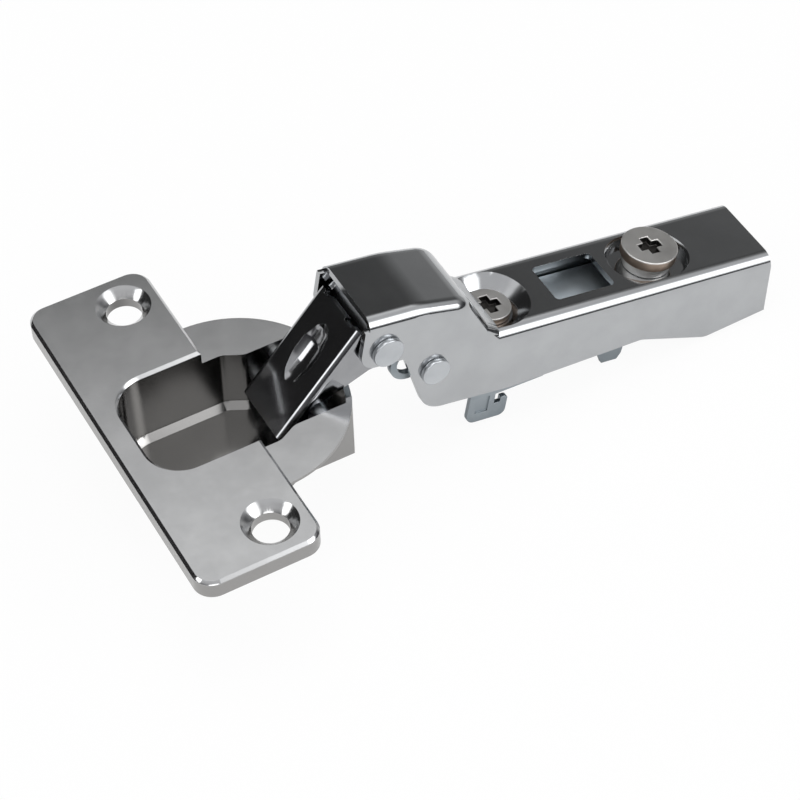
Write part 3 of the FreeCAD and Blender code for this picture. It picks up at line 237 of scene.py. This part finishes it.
def noise(tree, scale, detail, roughness=PLAIN_ROUGHNESS):
    """A noise in the object's own frame."""
    place = tree.nodes.new("ShaderNodeTexCoord")
    texture = tree.nodes.new("ShaderNodeTexNoise")
    texture.inputs["Scale"].default_value = scale
    texture.inputs["Detail"].default_value = detail
    texture.inputs["Roughness"].default_value = roughness
    tree.links.new(place.outputs["Object"], texture.inputs["Vector"])
    return texture.outputs["Fac"]


def ramp(tree, value, low, high, places):
    """A smooth change between two colours or two grey levels."""
    made = tree.nodes.new("ShaderNodeValToRGB")
    made.color_ramp.interpolation = "EASE"
    for end, place, level in zip(made.color_ramp.elements, places, (low, high)):
        end.position = place
        end.color = (level, level, level, 1.0) if isinstance(level, float) else (*level, 1.0)
    tree.links.new(value, made.inputs["Fac"])
    return made.outputs["Color"]


def stops(tree, value, levels):
    """A curve through grey levels at the given places."""
    made = tree.nodes.new("ShaderNodeValToRGB")
    ends = made.color_ramp.elements
    while len(ends) < len(levels):
        ends.new(0.5)
    for end, (place, level) in zip(ends, levels):
        end.position = place
        end.color = (level, level, level, 1.0)
    made.color_ramp.interpolation = "B_SPLINE"
    tree.links.new(value, made.inputs["Fac"])
    return made.outputs["Color"]


def combine(tree, operation, first, second):
    """One value worked out from two. The second may be a plain number."""
    made = tree.nodes.new("ShaderNodeMath")
    made.operation = operation
    tree.links.new(first, made.inputs[0])
    if isinstance(second, float):
        made.inputs[1].default_value = second
    else:
        tree.links.new(second, made.inputs[1])
    return made.outputs[0]


def blend(tree, share, first, second):
    """A colour mixed towards a second one by a share. The second may be a plain colour."""
    made = tree.nodes.new("ShaderNodeMixRGB")
    tree.links.new(share, made.inputs["Fac"])
    tree.links.new(first, made.inputs["Color1"])
    if isinstance(second, tuple):
        made.inputs["Color2"].default_value = (*second, 1.0)
    else:
        tree.links.new(second, made.inputs["Color2"])
    return made.outputs["Color"]


def add_light(tree, colour, level):
    """A colour with a light's level added."""
    made = tree.nodes.new("ShaderNodeMixRGB")
    made.blend_type = "ADD"
    made.inputs["Fac"].default_value = 1.0
    tree.links.new(colour, made.inputs["Color1"])
    tree.links.new(level, made.inputs["Color2"])
    return made.outputs["Color"]


def split_axes(tree, vector):
    parts = tree.nodes.new("ShaderNodeSeparateXYZ")
    tree.links.new(vector, parts.inputs["Vector"])
    return parts.outputs["X"], parts.outputs["Y"], parts.outputs["Z"]


def within(tree, value, low, high):
    """One below the low value, falling to nothing at the high one."""
    made = tree.nodes.new("ShaderNodeMapRange")
    made.interpolation_type = "SMOOTHSTEP"
    made.inputs["From Min"].default_value = low
    made.inputs["From Max"].default_value = high
    made.inputs["To Min"].default_value = 1.0
    made.inputs["To Max"].default_value = 0.0
    tree.links.new(value, made.inputs["Value"])
    return made.outputs["Result"]


def bump(tree, value, strength, distance, after=None):
    made = tree.nodes.new("ShaderNodeBump")
    made.inputs["Strength"].default_value = strength
    made.inputs["Distance"].default_value = distance
    tree.links.new(value, made.inputs["Height"])
    if after is not None:
        tree.links.new(after, made.inputs["Normal"])
    return made.outputs["Normal"]


def arm_place(tree, along, up):
    """Coordinates in the arm's frame, from a point along it and up from it."""
    here = tree.nodes.new("ShaderNodeTexCoord")
    mapping = tree.nodes.new("ShaderNodeMapping")
    mapping.vector_type = "TEXTURE"
    turned = Matrix.Rotation(ARM_PITCH, 3, "Y")
    mapping.inputs["Location"].default_value = ARM_ORIGIN + turned @ Vector((along, 0.0, up))
    mapping.inputs["Rotation"].default_value = (0.0, ARM_PITCH, 0.0)
    tree.links.new(here.outputs["Object"], mapping.inputs["Vector"])
    return mapping.outputs["Vector"]


# The metals
def metal(name):
    """Plated metal: faintly uneven gloss, soft ripples from the press, a fine grain under the plating."""
    dark, light, smooth, rough, ripple, grain = METALS[name]
    made, tree, shader = start_material(name)
    shader.inputs["Metallic"].default_value = 1.0
    cloud = noise(tree, CLOUD_SCALE, CLOUD_DETAIL)
    tree.links.new(ramp(tree, cloud, dark, light, CLOUD_ENDS), shader.inputs["Base Color"])
    smear = noise(tree, SMEAR_SCALE, SMEAR_DETAIL, SMEAR_ROUGHNESS)
    tree.links.new(ramp(tree, smear, smooth, rough, SMEAR_ENDS), shader.inputs["Roughness"])
    waves = bump(tree, noise(tree, RIPPLE_SCALE, RIPPLE_DETAIL), ripple, RIPPLE_HEIGHT)
    fine = bump(tree, noise(tree, GRAIN_SCALE, GRAIN_DETAIL), grain, GRAIN_HEIGHT, waves)
    tree.links.new(fine, shader.inputs["Normal"])
    return made


def colour_of(material):
    """A metal's node tree, the socket of its colour and what feeds it."""
    tree = material.node_tree
    socket = find_node(tree, "BSDF_PRINCIPLED").inputs["Base Color"]
    return tree, socket, socket.links[0].from_socket


def paint_cup_shade(material):
    """Painted shade: the cup's nickel is darker and browner in the bowl and on the upright walls than on
    the flange.
    """
    tree, socket, colour = colour_of(material)
    here = tree.nodes.new("ShaderNodeTexCoord")
    level = split_axes(tree, here.outputs["Object"])[2]
    rise = split_axes(tree, here.outputs["Normal"])[2]
    deep = within(tree, level, BOWL_LOW, BOWL_TOP)
    steep = within(tree, combine(tree, "ABSOLUTE", rise, 0.0), UPRIGHT_FULL, UPRIGHT_NONE)
    upright = combine(tree, "MULTIPLY", within(tree, level, WALL_LOW, WALL_TOP), steep)
    shade_share = combine(tree, "MULTIPLY", combine(tree, "MAXIMUM", deep, upright), CUP_SHADE_SHARE)
    tree.links.new(blend(tree, shade_share, colour, CUP_SHADE), socket)


def shade_screw_head(material, along, top, radius):
    """A turned screw's head: bright on top, painted shade in its recess, its side in a coppery tone
    darkened with painted shade.
    """
    tree, socket, colour = colour_of(material)
    x, y, z = split_axes(tree, arm_place(tree, along, top))
    flat = tree.nodes.new("ShaderNodeCombineXYZ")
    tree.links.new(x, flat.inputs["X"])
    tree.links.new(y, flat.inputs["Y"])
    reach = tree.nodes.new("ShaderNodeVectorMath")
    reach.operation = "LENGTH"
    tree.links.new(flat.outputs["Vector"], reach.inputs[0])
    span = reach.outputs["Value"]
    below = within(tree, z, -RECESS_DARK, -RECESS_EDGE)
    inside = within(tree, span, RECESS_REACH, RECESS_REACH + RECESS_EDGE)
    outside = within(tree, span, radius + RECESS_EDGE, radius)
    copper_shaded = blend(tree, combine(tree, "MULTIPLY", below, outside), colour, COPPER_SIDE_AND_SHADE)
    recess_shaded = blend(tree, combine(tree, "MULTIPLY", below, inside), copper_shaded, RECESS_SHADE)
    tree.links.new(recess_shaded, socket)


# The pieces, each with its edges rounded as the press leaves them
def finish_piece(name, body, material, edge):
    """A finished copy of a node: welded, its flats made whole, its edges rounded, its normals even."""
    made = bpy.data.objects.new(f"{name}_finished", nodes[name].data.copy())
    bpy.context.scene.collection.objects.link(made)
    made.data.materials.clear()
    made.data.materials.append(material)
    shape = bmesh.new()
    shape.from_mesh(made.data)
    bmesh.ops.remove_doubles(shape, verts=shape.verts, dist=WELD)
    bmesh.ops.dissolve_limit(shape, angle_limit=FLAT_ANGLE, verts=shape.verts, edges=shape.edges)
    for face in shape.faces:
        face.smooth = True
    for edge_line in shape.edges:
        if edge_line.is_manifold:
            bend = edge_line.calc_face_angle(0.0)
            edge_line.smooth = not CREASE_ANGLE < bend < EDGE_ANGLE
    shape.to_mesh(made.data)
    shape.free()
    round_off = made.modifiers.new("edges", "BEVEL")
    round_off.width = edge * MM
    round_off.segments = EDGE_SEGMENTS
    round_off.limit_method = "ANGLE"
    round_off.angle_limit = EDGE_ANGLE
    round_off.use_clamp_overlap = True
    round_off.harden_normals = False
    even = made.modifiers.new("normals", "WEIGHTED_NORMAL")
    even.keep_sharp = True
    even.weight = NORMAL_WEIGHT
    view = bpy.context.evaluated_depsgraph_get()
    settled = bpy.data.meshes.new_from_object(made.evaluated_get(view))
    made.modifiers.clear()
    made.data = settled
    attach(made, body)
    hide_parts(name)


def dress_nodes():
    metals = {name: metal(name) for name in METALS}
    paint_cup_shade(metals["satin_nickel"])
    shade_screw_head(metals["side_screw_steel"], SIDE_SCREW_PLACE, SIDE_SCREW_TOP, SIDE_SCREW_RADIUS)
    shade_screw_head(metals["cam_screw_steel"], CAM_SCREW_PLACE, CAM_SCREW_TOP, CAM_SCREW_RADIUS)
    for name, body, slot, finish, edge in PIECES:
        finish_piece(name, body, metals[finish], edge)


# Floor, room and lamps
def make_floor():
    level = cad_box[0][2] - FLOOR_GAP
    corners = ((-1, -1), (1, -1), (1, 1), (-1, 1))
    data = bpy.data.meshes.new("floor")
    data.from_pydata([(x * FLOOR_HALF, y * FLOOR_HALF, level) for x, y in corners], [], [(0, 1, 2, 3)])
    floor = bpy.data.objects.new("floor", data)
    bpy.context.scene.collection.objects.link(floor)
    made, tree, shader = start_material("floor_white")
    shader.inputs["Roughness"].default_value = FLOOR_ROUGHNESS
    shader.inputs["Specular IOR Level"].default_value = 0.0
    shader.inputs["Base Color"].default_value = FLOOR_COLOUR
    white = tree.nodes.new("ShaderNodeEmission")
    white.inputs["Strength"].default_value = WHITE_LEVEL
    path = tree.nodes.new("ShaderNodeLightPath")
    seen = combine(tree, "MULTIPLY", path.outputs["Is Camera Ray"], FLOOR_SEEN)
    share = tree.nodes.new("ShaderNodeMath")
    share.operation = "MULTIPLY_ADD"
    share.inputs[1].default_value = FLOOR_MIRRORED
    tree.links.new(path.outputs["Is Glossy Ray"], share.inputs[0])
    tree.links.new(seen, share.inputs[2])
    mix = tree.nodes.new("ShaderNodeMixShader")
    tree.links.new(share.outputs[0], mix.inputs["Fac"])
    tree.links.new(shader.outputs["BSDF"], mix.inputs[1])
    tree.links.new(white.outputs["Emission"], mix.inputs[2])
    output = find_node(tree, "OUTPUT_MATERIAL")
    tree.links.new(mix.outputs["Shader"], output.inputs["Surface"])
    data.materials.append(made)


def softbox(tree, way):
    """The soft light's level in a direction, with soft edges."""
    toward = tree.nodes.new("ShaderNodeVectorMath")
    toward.operation = "DOT_PRODUCT"
    toward.inputs[1].default_value = SOFTBOX_WAY
    tree.links.new(way, toward.inputs[0])
    level = tree.nodes.new("ShaderNodeMapRange")
    level.interpolation_type = "SMOOTHSTEP"
    level.inputs["From Min"].default_value = SOFTBOX_EDGE
    level.inputs["From Max"].default_value = SOFTBOX_CORE
    level.inputs["To Max"].default_value = SOFTBOX_LEVEL
    tree.links.new(toward.outputs["Value"], level.inputs["Value"])
    return level.outputs["Result"]


def room_colour(tree):
    """What the metal mirrors of the room in each direction."""
    way = tree.nodes.new("ShaderNodeTexCoord").outputs["Generated"]
    side, depth, rise = split_axes(tree, way)
    ceiling = stops(tree, rise, CEILING_LEVELS)
    glow = combine(tree, "MULTIPLY", stops(tree, rise, GLOW_BY_RISE), stops(tree, side, GLOW_BY_SIDE))
    behind = combine(tree, "ADD", ceiling, glow)
    before = ramp(tree, rise, FRONT_LOW, FRONT_HIGH, FRONT_ENDS)
    share = ramp(tree, combine(tree, "ADD", depth, BACK_SHIFT), 0.0, 1.0, BACK_ENDS)
    return add_light(tree, blend(tree, share, before, behind), softbox(tree, way))


def make_world():
    """White to the eye, and to the metal a room."""
    world = bpy.data.worlds.new("studio")
    bpy.context.scene.world = world
    world.use_nodes = True
    tree = world.node_tree
    tree.nodes.clear()
    output = tree.nodes.new("ShaderNodeOutputWorld")
    seen = tree.nodes.new("ShaderNodeBackground")
    seen.inputs["Color"].default_value = WHITE
    seen.inputs["Strength"].default_value = WHITE_LEVEL
    room = tree.nodes.new("ShaderNodeBackground")
    room.inputs["Strength"].default_value = 1.0
    tree.links.new(room_colour(tree), room.inputs["Color"])
    mix = tree.nodes.new("ShaderNodeMixShader")
    path = tree.nodes.new("ShaderNodeLightPath")
    tree.links.new(path.outputs["Is Camera Ray"], mix.inputs["Fac"])
    tree.links.new(room.outputs["Background"], mix.inputs[1])
    tree.links.new(seen.outputs["Background"], mix.inputs[2])
    tree.links.new(mix.outputs["Shader"], output.inputs["Surface"])


def add_lamp(name, place, width, height, power):
    data = bpy.data.lights.new(name, "AREA")
    data.shape = "RECTANGLE"
    data.size = width
    data.size_y = height
    data.energy = power
    lamp = bpy.data.objects.new(name, data)
    lamp.location = place
    lamp.rotation_euler = (Vector(LAMP_TARGET) - Vector(place)).to_track_quat("-Z", "Y").to_euler()
    bpy.context.scene.collection.objects.link(lamp)


bpy.context.scene.view_settings.view_transform = "Standard"
make_camera()
dress_nodes()
make_floor()
make_world()
for lamp in LAMPS:
    add_lamp(*lamp)
